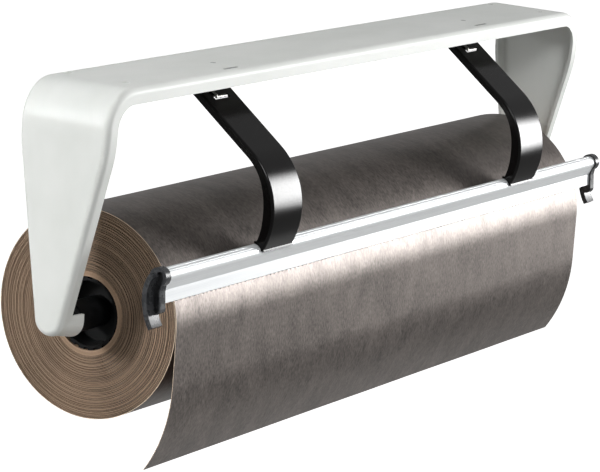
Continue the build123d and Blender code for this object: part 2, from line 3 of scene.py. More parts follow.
import logging
import math
import random
from dataclasses import dataclass, field
from enum import Enum, IntEnum
from typing import Any, Iterable, Iterator, Sequence

import bpy
from mathutils import Matrix, Vector, noise


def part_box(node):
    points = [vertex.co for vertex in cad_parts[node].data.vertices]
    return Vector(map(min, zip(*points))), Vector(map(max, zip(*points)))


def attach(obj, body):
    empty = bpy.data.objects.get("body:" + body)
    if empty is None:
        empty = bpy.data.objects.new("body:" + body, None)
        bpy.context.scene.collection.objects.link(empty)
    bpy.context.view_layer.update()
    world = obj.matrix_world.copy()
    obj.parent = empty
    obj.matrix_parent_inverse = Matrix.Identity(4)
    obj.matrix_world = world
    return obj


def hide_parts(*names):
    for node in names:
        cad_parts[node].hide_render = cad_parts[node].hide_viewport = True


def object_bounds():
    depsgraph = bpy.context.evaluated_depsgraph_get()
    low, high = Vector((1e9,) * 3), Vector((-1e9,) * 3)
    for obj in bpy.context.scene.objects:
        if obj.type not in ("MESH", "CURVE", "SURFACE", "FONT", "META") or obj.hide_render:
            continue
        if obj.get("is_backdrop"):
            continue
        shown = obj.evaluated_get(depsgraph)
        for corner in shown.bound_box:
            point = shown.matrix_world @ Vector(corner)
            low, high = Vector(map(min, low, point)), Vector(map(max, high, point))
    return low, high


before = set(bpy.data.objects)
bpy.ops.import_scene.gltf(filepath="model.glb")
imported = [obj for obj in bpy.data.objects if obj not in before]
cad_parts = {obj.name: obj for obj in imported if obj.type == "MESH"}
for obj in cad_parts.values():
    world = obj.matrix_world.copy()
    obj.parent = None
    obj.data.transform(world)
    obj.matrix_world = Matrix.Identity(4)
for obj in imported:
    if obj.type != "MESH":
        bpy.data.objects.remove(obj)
CAD_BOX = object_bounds()

LOG = logging.getLogger("gift_wrap_cutter")

MM = 0.001  # a millimetre, in metres
WELD_REACH = 1e-6  # facets whose corners are this near share them, in metres
NOISE_LOW, NOISE_HIGH = 0.3, 0.7  # smooth shader noise seldom leaves this band
FINER_SHARE = 0.6  # strength of each finer octave of noise next to the one before


def linear(hex_colour: str) -> tuple[float, float, float, float]:
    """Turns an sRGB hex colour into linear light, by the sRGB standard's own curve.

    Args:
        hex_colour: Six hex digits after a hash sign.

    Returns:
        Red, green, blue and an alpha of 1.
    """
    channels = [int(hex_colour[i : i + 2], 16) / 255 for i in (1, 3, 5)]
    light = [c / 12.92 if c <= 0.04045 else ((c + 0.055) / 1.055) ** 2.4 for c in channels]
    return (light[0], light[1], light[2], 1.0)


def sway(*place: float) -> float:
    """Smooth noise from 0 to 1 at a place that is counted in noise cells."""
    return 0.5 + 0.5 * noise.noise(Vector(place))


def add_node(
    tree: bpy.types.NodeTree,
    kind: str,
    values: dict[Any, Any] | None = None,
    links: dict[Any, bpy.types.NodeSocket] | None = None,
    **settings: Any,
) -> bpy.types.Node:
    """Adds one shader node with its settings, socket values and incoming links.

    Args:
        tree: Node tree that takes the node.
        kind: Blender's type name for the node.
        values: Socket name or number to its fixed value.
        links: Socket name or number to the output that feeds it.
        settings: Properties of the node itself.

    Returns:
        The new node.
    """
    node = tree.nodes.new(kind)
    for name, value in settings.items():
        setattr(node, name, value)
    for socket, value in (values or {}).items():
        node.inputs[socket].default_value = value
    for socket, source in (links or {}).items():
        tree.links.new(source, node.inputs[socket])
    return node


class Side(Enum):
    """The two ends of the holder, by the sign of X."""

    LEFT = -1
    RIGHT = 1


class Body(Enum):
    """Bodies of the frame that the two paper pieces ride on."""

    BRACKET = "bracket"
    ROLL = "roll"


class RollSlot(IntEnum):
    """Material slots of the wound paper."""

    PRINT = 0
    EDGES = 1
    KRAFT = 2
    GAP = 3
    OUTER_EDGE = 4


class SheetSlot(IntEnum):
    """Material slots of the hanging paper."""

    PRINT = 0
    KRAFT = 1
    EDGE = 2


# ---------------------------------------------------------------- finishes


@dataclass
class Skin:
    """A material while it is made: patterns, and what they do to the surface.

    Args:
        tree: Node tree of the material.
        shader: Its shader, which the patterns feed.
    """

    tree: bpy.types.NodeTree
    shader: bpy.types.Node

    def grain(
        self, cell: float | tuple[float, float, float], detail: float = 3.0
    ) -> bpy.types.NodeSocket:
        """Cloudy noise from 0 to 1 that stays with the surface.

        Args:
            cell: Size of a pattern cell, all ways or along X, Y and Z, in millimetres.
            detail: How many finer octaves are added.

        Returns:
            The noise's level.
        """
        sizes = cell if isinstance(cell, tuple) else (cell, cell, cell)
        scale = tuple(1 / (size * MM) for size in sizes)
        spot = add_node(self.tree, "ShaderNodeTexCoord").outputs["Object"]
        cells = add_node(self.tree, "ShaderNodeMapping", {"Scale": scale}, {"Vector": spot})
        values = {"Scale": 1.0, "Detail": detail, "Roughness": FINER_SHARE}
        links = {"Vector": cells.outputs["Vector"]}
        return add_node(self.tree, "ShaderNodeTexNoise", values, links).outputs["Fac"]

    def stain(self, level: bpy.types.NodeSocket, low: str, high: str) -> None:
        """Colours the surface between two hex colours.

        Args:
            level: Pattern from 0 to 1.
            low: Colour where the pattern is low.
            high: Colour where it is high.
        """
        ramp = add_node(self.tree, "ShaderNodeValToRGB", links={"Fac": level})
        stops = ((NOISE_LOW, low), (NOISE_HIGH, high))
        for stop, (position, colour) in zip(ramp.color_ramp.elements, stops):
            stop.position = position
            stop.color = linear(colour)
        self.tree.links.new(ramp.outputs["Color"], self.shader.inputs["Base Color"])

    def polish(
        self, level: bpy.types.NodeSocket, roughness: float, play: tuple[float, float]
    ) -> None:
        """Makes the surface glossier where a pattern is low and duller where it is high.

        Args:
            level: Pattern from 0 to 1.
            roughness: Micro-roughness that it plays about.
            play: How far the roughness falls and rises.
        """
        values = {
            "From Min": NOISE_LOW,
            "From Max": NOISE_HIGH,
            "To Min": roughness - play[0],
            "To Max": roughness + play[1],
        }
        gloss = add_node(self.tree, "ShaderNodeMapRange", values, {"Value": level})
        self.tree.links.new(gloss.outputs["Result"], self.shader.inputs["Roughness"])

    def emboss(self, level: bpy.types.NodeSocket, height: float, kept: float) -> None:
        """Raises the surface's shading by a pattern.

        Args:
            level: Pattern from 0 to 1.
            height: Rise at a level of 1, in millimetres.
            kept: Share of the bend that is kept.
        """
        values = {"Strength": kept, "Distance": height * MM}
        bump = add_node(self.tree, "ShaderNodeBump", values, {"Height": level})
        self.tree.links.new(bump.outputs["Normal"], self.shader.inputs["Normal"])


@dataclass(frozen=True)
class Finish:
    """A surface that one process gives one material.

    Args:
        name: Material name in the file.
        colour: sRGB hex colour of the surface, away from its patches, lines or fibres.
        roughness: Micro-roughness from 0, mirror, to 1, chalk.
        metallic: 1 for bare metal, 0 for paint, plastic and paper, and less than 1 for
            metal under a milky skin or in an ink.
        gleam: Strength of the clear reflection, 0.5 for a clean surface.
        play: How far the pattern lowers and raises the roughness.
        relief: Height of the pattern, in millimetres, and the share of its bend that is kept.
    """

    name: str
    colour: str
    roughness: float
    metallic: float = 0.0
    gleam: float = 0.5
    play: tuple[float, float] = (0.03, 0.05)
    relief: tuple[float, float] = (0.02, 0.5)

    def material(self) -> bpy.types.Material:
        """Makes the material once, and then shares it.

        Returns:
            The material.
        """
        made = bpy.data.materials.get(self.name)
        if made is not None:
            return made
        made = bpy.data.materials.new(self.name)
        made.use_nodes = True
        shader = made.node_tree.nodes["Principled BSDF"]
        values = {
            "Base Color": linear(self.colour),
            "Roughness": self.roughness,
            "Metallic": self.metallic,
            "Specular IOR Level": self.gleam,
        }
        for socket, value in values.items():
            shader.inputs[socket].default_value = value
        self.dress(Skin(made.node_tree, shader))
        return made

    def dress(self, skin: Skin) -> None:
        """Adds the pattern, which each kind of finish has of its own."""
        raise NotImplementedError(self.name)


@dataclass(frozen=True)
class PowderCoat(Finish):
    """Baked polyester powder on steel: a soft satin with faint orange peel.

    Args:
        shade: Slightly darker hex colour of the thinner coat.
        patch: Size of a patch of thinner coat along X, Y and Z, in millimetres.
        peel: Width of an orange peel dimple, in millimetres.
    """

    shade: str = "#D9DCD8"
    patch: tuple[float, float, float] = (90.0, 40.0, 60.0)
    peel: float = 1.6

    def dress(self, skin: Skin) -> None:
        """Adds slow changes of shade, and the peel, which breaks up reflections.

        Args:
            skin: The material while it is made.
        """
        skin.stain(skin.grain(self.patch), self.shade, self.colour)
        peel = skin.grain(self.peel, detail=1.0)
        skin.polish(peel, self.roughness, self.play)
        skin.emboss(peel, *self.relief)


@dataclass(frozen=True)
class GlossEnamel(Finish):
    """Stoved black enamel on steel: deep and wet-looking, with clear highlights.

    Args:
        ripple: Width of a ripple of the enamel, in millimetres.
        dust: Width of a dull speck, in millimetres, coarser than real dust so that it shows.
    """

    relief: tuple[float, float] = (0.015, 0.6)
    ripple: float = 3.0
    dust: float = 0.8

    def dress(self, skin: Skin) -> None:
        """Adds soft ripples of the enamel and a few dull specks.

        Args:
            skin: The material while it is made.
        """
        skin.polish(skin.grain(self.dust, detail=2.0), self.roughness, self.play)
        skin.emboss(skin.grain(self.ripple, detail=1.0), *self.relief)


@dataclass(frozen=True)
class ZincPlate(Finish):
    """Electroplated zinc on pressed steel: pale blue-grey metal, slightly cloudy.

    Args:
        cloudy: Hex colour of the duller patches.
        patch: Width of a patch, in millimetres.
    """

    play: tuple[float, float] = (0.06, 0.1)
    relief: tuple[float, float] = (0.01, 0.4)
    cloudy: str = "#7B7D7C"
    patch: float = 2.5

    def dress(self, skin: Skin) -> None:
        """Adds the plate's cloudiness, in colour, gloss and relief.

        Args:
            skin: The material while it is made.
        """
        cloud = skin.grain(self.patch, detail=4.0)
        skin.stain(cloud, self.cloudy, self.colour)
        skin.polish(cloud, self.roughness, self.play)
        skin.emboss(cloud, *self.relief)


@dataclass(frozen=True)
class DrawnMetal(Finish):
    """Metal pulled through a die along the roll: fine straight lines and a satin streak.

    Args:
        line: Width of a die line, in millimetres, as coarse as it needs to show.
        run: Length of a die line, in millimetres.
        worn: Hex colour of the duller lines.
    """

    play: tuple[float, float] = (0.05, 0.08)
    relief: tuple[float, float] = (0.01, 0.35)
    line: float = 0.35
    run: float = 140.0
    worn: str = "#C9CCCD"

    def dress(self, skin: Skin) -> None:
        """Adds lines that run with the roll, in colour, gloss and relief.

        Args:
            skin: The material while it is made.
        """
        lines = skin.grain((self.run, self.line, self.line), detail=2.0)
        skin.stain(lines, self.worn, self.colour)
        skin.polish(lines, self.roughness, self.play)
        skin.emboss(lines, *self.relief)


@dataclass(frozen=True)
class MouldedPlastic(Finish):
    """Injection moulded black nylon: dark with a soft grey bloom and a spark-eroded grain.

    Args:
        bloom: Hex colour of the greyer patches.
        patch: Width of a patch, in millimetres.
        pit: Width of a pit of the mould's grain, in millimetres, coarser than real to show.
    """

    play: tuple[float, float] = (0.08, 0.1)
    bloom: str = "#191A1C"
    patch: float = 6.0
    pit: float = 0.5

    def dress(self, skin: Skin) -> None:
        """Adds the grey bloom of handling and the mould's fine grain.

        Args:
            skin: The material while it is made.
        """
        bloom = skin.grain(self.patch)
        skin.stain(bloom, self.colour, self.bloom)
        skin.polish(bloom, self.roughness, self.play)
        skin.emboss(skin.grain(self.pit, detail=2.0), *self.relief)


@dataclass(frozen=True)
class MetallisedKraft(Finish):
    """Machine-glazed kraft paper printed in dark metallic ink, with a soft broad sheen.

    Args:
        faded: Hex colour where the ink lies thin on the fibres.
        fibre: Size of a tuft of fibres along X, Y and Z, in millimetres; a real fibre is a
            fortieth as wide, too fine to show.
        patch: Size of a patch of thinner ink along X, Y and Z, in millimetres.
        patch_share: Share of the patches in the colour, next to the fibres.
        streak: Size of a glossier or duller streak along X, Y and Z, in millimetres.
        streak_share: Share of the streaks in the gloss, next to the fibres.
    """

    play: tuple[float, float] = (0.07, 0.08)
    relief: tuple[float, float] = (0.09, 0.8)
    faded: str = "#7F7772"
    fibre: tuple[float, float, float] = (1.2, 2.6, 2.6)
    patch: tuple[float, float, float] = (14.0, 26.0, 26.0)
    patch_share: float = 0.3
    streak: tuple[float, float, float] = (2.0, 11.0, 11.0)
    streak_share: float = 0.5

    def dress(self, skin: Skin) -> None:
        """Adds fine fibres, cloudy patches of thinner ink, and glossier and duller streaks.

        Args:
            skin: The material while it is made.
        """
        fibres = skin.grain(self.fibre)
        patches = skin.grain(self.patch, detail=2.0)
        streaks = skin.grain(self.streak, detail=2.0)
        mixes = []
        for share, other in ((self.patch_share, patches), (self.streak_share, streaks)):
            links = {"A": fibres, "B": other}
            mixes.append(
                add_node(skin.tree, "ShaderNodeMix", {"Factor": share}, links, data_type="FLOAT")
            )
        ink, shine = (mix.outputs["Result"] for mix in mixes)
        skin.stain(ink, self.colour, self.faded)
        skin.polish(shine, self.roughness, self.play)
        skin.emboss(fibres, *self.relief)


@dataclass(frozen=True)
class BareKraft(Finish):
    """Unprinted kraft paper: matt brown with short darker fibres.

    Args:
        dark: Hex colour of the darker fibres.
        fibre: Size of a tuft of fibres, in millimetres, coarser than real so that it shows.
    """

    relief: tuple[float, float] = (0.03, 0.6)
    dark: str = "#8E735C"
    fibre: float = 1.4

    def dress(self, skin: Skin) -> None:
        """Adds the fibres, in colour and relief.

        Args:
            skin: The material while it is made.
        """
        tufts = skin.grain(self.fibre, detail=4.0)
        skin.stain(tufts, self.dark, self.colour)
        skin.emboss(tufts, *self.relief)


@dataclass(frozen=True)
class WoundEdge(Finish):
    """Cut edges of wound paper or board: thin rings round the roll's axis, light and dark.

    Args:
        ring: Width of one ring, in millimetres; several real wraps, so that it shows.
        shadow: Hex colour of the gaps between wraps.
        centre: The roll's axis as Y and Z, in millimetres.
        stray: How far a ring strays from round, in millimetres.
        bend: Size of one such stray along X, Y and Z, in millimetres.
        crowding: How strongly finer rings show among the wide ones, from 0 to 1.
    """

    relief: tuple[float, float] = (0.4, 0.8)
    ring: float = 0.9
    shadow: str = "#3A2A20"
    centre: tuple[float, float] = (0.0, 0.0)
    stray: float = 1.2
    bend: tuple[float, float, float] = (400.0, 30.0, 30.0)
    crowding: float = 0.75

    def dress(self, skin: Skin) -> None:
        """Adds rings by distance from the roll's axis, in colour and relief.

        Args:
            skin: The material while it is made.
        """
        tree = skin.tree
        spot = add_node(tree, "ShaderNodeTexCoord").outputs["Object"]
        middle = (0.0, self.centre[0] * MM, self.centre[1] * MM)
        from_axis = add_node(
            tree, "ShaderNodeVectorMath", {1: middle}, {0: spot}, operation="SUBTRACT"
        ).outputs["Vector"]
        flat = add_node(
            tree, "ShaderNodeVectorMath", {1: (0.0, 1.0, 1.0)}, {0: from_axis}, operation="MULTIPLY"
        ).outputs["Vector"]
        radius = add_node(
            tree, "ShaderNodeVectorMath", links={0: flat}, operation="LENGTH"
        ).outputs["Value"]
        wander = skin.grain(self.bend, detail=1.0)
        drift = add_node(
            tree, "ShaderNodeMath", {1: self.stray * MM}, {0: wander}, operation="MULTIPLY"
        ).outputs[0]
        bent = add_node(
            tree, "ShaderNodeMath", links={0: radius, 1: drift}, operation="ADD"
        ).outputs[0]
        rings = add_node(
            tree,
            "ShaderNodeTexNoise",
            {"Scale": 1 / (self.ring * MM), "Detail": 4.0, "Roughness": self.crowding},
            {"W": bent},
            noise_dimensions="1D",
        ).outputs["Fac"]
        skin.stain(rings, self.shadow, self.colour)
        skin.emboss(rings, *self.relief)


# ---------------------------------------------------------------- the maker's finishes

# Painted steel: a pale satin bracket, and arms whose clear highlights run along their curve.
WHITE_COAT = PowderCoat("polyester_powder_coat", "#E3E5E2", 0.42, gleam=0.35)
BLACK_ENAMEL = GlossEnamel("stoved_black_enamel", "#0A0909", 0.15, gleam=0.22)

# Bare metals. The anodised rail's milky skin scatters most of its light, so it shines softly.
ZINC = ZincPlate("zinc_plated_steel", "#A9ABAA", 0.38, 1.0)
SPRING = DrawnMetal("drawn_spring_wire", "#B4B3AF", 0.26, 1.0, worn="#8A8985")
RAIL = DrawnMetal("satin_anodised_aluminium", "#E4E6E7", 0.36, 0.3, worn="#D6D9DB")
BLADE = DrawnMetal("stainless_strip", "#D2D3D2", 0.22, 1.0, worn="#B4B6B6")

# Nylon, all one black: the plugs are darkened to paint the core bore's shade, the smoother caps
# lightened to paint a sheen.
PLUG_NYLON_PAINTED_SHADE = MouldedPlastic("black_nylon_painted_shade", "#070808", 0.5, gleam=0.2, bloom="#0D0E0F")
CAP_NYLON_PAINTED_SHEEN = MouldedPlastic(
    "black_nylon_painted_sheen", "#2C2D2F", 0.26, gleam=0.34, bloom="#454648"
)

# Paper: a dark print with a metal sheen, brown where it is bare and paler where it is cut.
WRAP_FACE = MetallisedKraft("metallic_printed_kraft", "#433E3B", 0.39, 0.8)
WRAP_BACK = BareKraft("bare_kraft_back", "#AA8D74", 0.8)
CUT_EDGE = BareKraft("cut_paper_edge", "#DCC6AE", 0.85, dark="#D2BCA4")
# The floor of each gap is near black: painted shadow deep between the wraps.
GAP_PAINTED_SHADOW = BareKraft("shadow_between_wraps", "#1F1814", 0.9, dark="#1A1410")


# ---------------------------------------------------------------- meshes


@dataclass
class Grid:
    """Faces of a surface that is made row by row.

    Args:
        points: Vertices made so far, in metres.
        faces: Vertex numbers of each face.
        slots: Material slot of each face.
    """

    points: list[Vector] = field(default_factory=list)
    faces: list[tuple[int, ...]] = field(default_factory=list)
    slots: list[int] = field(default_factory=list)

    def strip(self, rows: Sequence[Sequence[Vector]], slot: int, closed: bool) -> None:
        """Adds a surface through rows of points.

        Args:
            rows: Rows with the same number of points.
            slot: Material slot of the faces.
            closed: Whether each row runs round to its start.
        """
        start = len(self.points)
        width = len(rows[0])
        for row in rows:
            self.points.extend(row)
        columns = width if closed else width - 1
        for line in range(len(rows) - 1):
            for column in range(columns):
                across = (column + 1) % width
                here = start + line * width
                there = here + width
                self.faces.append((here + column, here + across, there + across, there + column))
                self.slots.append(slot)

    def piece(self, name: str, finishes: Iterable[Finish]) -> bpy.types.Object:
        """Makes the object.

        Args:
            name: Name of the piece.
            finishes: Finishes of the material slots, in order.

        Returns:
            The smooth-shaded object, linked to the scene.
        """
        mesh = bpy.data.meshes.new(name)
        mesh.from_pydata(self.points, [], self.faces)
        for finish in finishes:
            mesh.materials.append(finish.material())
        mesh.polygons.foreach_set("material_index", self.slots)
        mesh.polygons.foreach_set("use_smooth", [True] * len(self.faces))
        mesh.update()
        made = bpy.data.objects.new(name, mesh)
        bpy.context.scene.collection.objects.link(made)
        return made


def finish_node(node: str, finish: Finish, sharp: float = 28.0) -> None:
    """Gives a part of the frame its finish and soft shading, without touching its shape.

    Args:
        node: Name of the part.
        finish: Its finish.
        sharp: Corner angle, in degrees, above which an edge stays crisp.
    """
    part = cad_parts[node]
    faces = part.data.polygons
    part.data.materials.clear()
    part.data.materials.append(finish.material())
    faces.foreach_set("material_index", [0] * len(faces))
    faces.foreach_set("use_smooth", [True] * len(faces))
    weld = part.modifiers.new("joined_facets", "WELD")
    weld.merge_threshold = WELD_REACH
    split = part.modifiers.new("crisp_edges", "EDGE_SPLIT")
    split.split_angle = math.radians(sharp)
    even = part.modifiers.new("even_shading", "WEIGHTED_NORMAL")
    even.keep_sharp = True
    LOG.info("%s finished as %s", node, finish.name)


# ---------------------------------------------------------------- sub-assemblies


@dataclass
class Bracket:
    """The bent steel bracket that hangs under the counter.

    Args:
        node: Name of the bracket's part.
    """

    node: str = "frame"

    def build(self) -> None:
        """Dresses the bracket."""
        finish_node(self.node, WHITE_COAT)


@dataclass
class Hinges:
    """Plates, rivets, pins and springs that carry the arms, and the screws at their feet.

    Args:
        plates: Names of the plates under the beam.
        fasteners: Names of the rivets, pins and screws.
        springs: Names of the coiled springs.
        coil_sharp: Corner angle, in degrees, below which the springs' round wire is smooth.
    """

    plates: tuple[str, ...] = ("hinge_bracket_left", "hinge_bracket_right")
    fasteners: tuple[str, ...] = ("hinge_rivets", "hinge_pin_left", "hinge_pin_right", "arm_screws")
    springs: tuple[str, ...] = ("arm_spring_left", "arm_spring_right")
    coil_sharp: float = 60.0

    def build(self) -> None:
        """Dresses every part of the hinges."""
        for node in (*self.plates, *self.fasteners):
            finish_node(node, ZINC)
        for node in self.springs:
            finish_node(node, SPRING, self.coil_sharp)


@dataclass
class Cutter:
    """The swinging cutter: arms, rail, blade and end caps.

    Args:
        arms: Names of the two curved arms.
        caps: Names of the rail's two end caps.
        rail: Name of the rail.
        blade: Name of the toothed strip in the rail's lip.
    """

    arms: tuple[str, ...] = ("cutter_arm_left", "cutter_arm_right")
    caps: tuple[str, ...] = ("rail_cap_left", "rail_cap_right")
    rail: str = "cutter_rail"
    blade: str = "tear_blade"

    def build(self) -> None:
        """Dresses every part of the cutter."""
        for node in self.arms:
            finish_node(node, BLACK_ENAMEL)
        for node in self.caps:
            finish_node(node, CAP_NYLON_PAINTED_SHEEN)
        finish_node(self.rail, RAIL)
        finish_node(self.blade, BLADE)


@dataclass
class PaperRoll:
    """Wound paper on its core, and the plugs that carry it.

    Args:
        segments: Faces round the roll.
        stations: Faces along the roll.
        wrap: Narrowest and widest edge of a group of wraps, in millimetres.
        gap: Narrowest and widest gap between two groups, in millimetres.
        sunk: Shallowest and deepest gap, in millimetres.
        telescope: How far the wraps shift in and out at the ends, in millimetres.
        ripple: Depth of the waves in the outer wrap and in the ends' circles, in millimetres.
        waves: Noise cells of the outer wrap for each metre along the roll, and the radius
            in cells of the circle that is read for one turn round it.
        waver: Noise cells of the ends for each metre of radius, and the radius in cells of
            the circle that is read for one turn.
        apart: Noise cells from the middle to each end's own pattern.
        depths: Shares of a gap's depth that are even all round and that waver.
        clearance: Room between the paper's bore and the core, in millimetres.
        seed: Start of the random draws, to which each end adds its own sign.
        core: Name of the cardboard core.
        plugs: Names of the plugs in the core's ends.
    """

    segments: int = 160
    stations: int = 40
    wrap: tuple[float, float] = (0.2, 0.5)
    gap: tuple[float, float] = (0.18, 0.5)
    sunk: tuple[float, float] = (0.8, 1.5)
    telescope: float = 0.3
    ripple: float = 0.12
    waves: tuple[float, float] = (14.0, 2.0)
    waver: tuple[float, float] = (240.0, 1.3)
    apart: float = 9.0
    depths: tuple[float, float] = (0.7, 0.3)
    clearance: float = 0.1
    seed: int = 7
    core: str = "cardboard_core"
    plugs: tuple[str, ...] = ("core_plug_left", "core_plug_right")

    def __post_init__(self) -> None:
        """Reads the roll's place from the frame."""
        low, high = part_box("paper_roll")
        core_low, core_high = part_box(self.core)
        self.axis = (low + high) / 2
        self.half = (high.x - low.x) / 2
        self.outer = (high.z - low.z) / 2
        self.inner = (core_high.z - core_low.z) / 2 + self.clearance * MM

    def build(self) -> None:
        """Makes the wound paper and dresses the core and plugs."""
        centre = (self.axis.y / MM, self.axis.z / MM)
        edges = WoundEdge(
            "wound_paper_edge", "#C0A58C", 0.85, ring=0.3, shadow="#876E58", centre=centre
        )
        board = WoundEdge(
            "wound_core_board", "#BCA088", 0.85, ring=0.6, shadow="#84694F", centre=centre
        )
        grid = Grid()
        grid.strip(self.outer_rows(), RollSlot.PRINT, closed=True)
        for side in Side:
            for slot, rows in self.end_bands(side):
                grid.strip(rows if side is Side.RIGHT else rows[::-1], slot, closed=True)
        grid.strip(self.bore_rows(), RollSlot.EDGES, closed=True)
        finishes = {
            RollSlot.PRINT: WRAP_FACE,
            RollSlot.EDGES: edges,
            RollSlot.KRAFT: WRAP_BACK,
            RollSlot.GAP: GAP_PAINTED_SHADOW,
            RollSlot.OUTER_EDGE: CUT_EDGE,
        }
        roll = grid.piece("wound_paper", [finishes[slot] for slot in RollSlot])
        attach(roll, Body.ROLL.value)
        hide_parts("paper_roll")
        LOG.info("wound paper has %d faces", len(grid.faces))
        finish_node(self.core, board)
        for node in self.plugs:
            finish_node(node, PLUG_NYLON_PAINTED_SHADE)

    def spot(self, x: float, radius: float, turn: float) -> Vector:
        """Point at a place along the roll, a radius and a turn about the roll's axis."""
        across, up = radius * math.cos(turn), radius * math.sin(turn)
        return Vector((x, self.axis.y + across, self.axis.z + up))

    def turns(self) -> list[float]:
        """Angles of the roll's facets, in radians."""
        return [math.tau * step / self.segments for step in range(self.segments)]

    def outer_rows(self) -> list[list[Vector]]:
        """Outer wrap, with slow waves that stay inside the true radius.

        Returns:
            Circles of points from the left end to the right.
        """
        along, around = self.waves
        rows = []
        for station in range(self.stations + 1):
            x = -self.half + 2 * self.half * station / self.stations
            row = []
            for turn in self.turns():
                wave = sway(x * along, around * math.cos(turn), around * math.sin(turn))
                row.append(self.spot(x, self.outer - self.ripple * MM * wave, turn))
            rows.append(row)
        return rows

    def ring(self, side: Side, radius: float, depth: float) -> list[Vector]:
        """One circle of an end face, which wanders a little like loosely wound paper.

        Args:
            side: Which end.
            radius: Distance from the roll's axis, in metres.
            depth: How far the circle lies inside the end, in metres.

        Returns:
            The circle's points.
        """
        outward, around = self.waver
        even, uneven = self.depths
        own = self.apart * side.value
        points = []
        for turn in self.turns():
            wave = sway(radius * outward, around * math.cos(turn), around * math.sin(turn) + own)
            x = side.value * (self.half - depth * (even + uneven * wave))
            points.append(self.spot(x, radius - self.ripple * MM * wave, turn))
        return points

    def end_bands(self, side: Side) -> Iterator[tuple[RollSlot, list[list[Vector]]]]:
        """Bands of one end face: cut edges, with the paper's two faces in the gaps between and a
        painted shadow on each gap's floor.

        Args:
            side: Which end.

        Yields:
            (material slot, two circles) from the outer wrap to the core.
        """
        chance = random.Random(self.seed + side.value)
        radius = self.outer
        shift = 0.0
        slot = RollSlot.OUTER_EDGE
        while radius > self.inner + self.wrap[1] * MM:
            land = chance.uniform(*self.wrap) * MM
            gap = chance.uniform(*self.gap) * MM
            deep = shift + chance.uniform(*self.sunk) * MM
            brink = radius - land
            below = max(self.inner, brink - gap)
            after = chance.uniform(0.0, self.telescope) * MM
            yield slot, [self.ring(side, radius, shift), self.ring(side, brink, shift)]
            yield RollSlot.KRAFT, [self.ring(side, brink, shift), self.ring(side, brink, deep)]
            yield RollSlot.GAP, [self.ring(side, brink, deep), self.ring(side, below, deep)]
            yield RollSlot.PRINT, [self.ring(side, below, deep), self.ring(side, below, after)]
            radius, shift, slot = below, after, RollSlot.EDGES
        yield slot, [self.ring(side, radius, shift), self.ring(side, self.inner, shift)]

    def bore_rows(self) -> list[list[Vector]]:
        """Rows of the bore that the core fills."""
        ends = (self.half - self.telescope * MM, -self.half + self.telescope * MM)
        return [[self.spot(x, self.inner, turn) for turn in self.turns()] for x in ends]


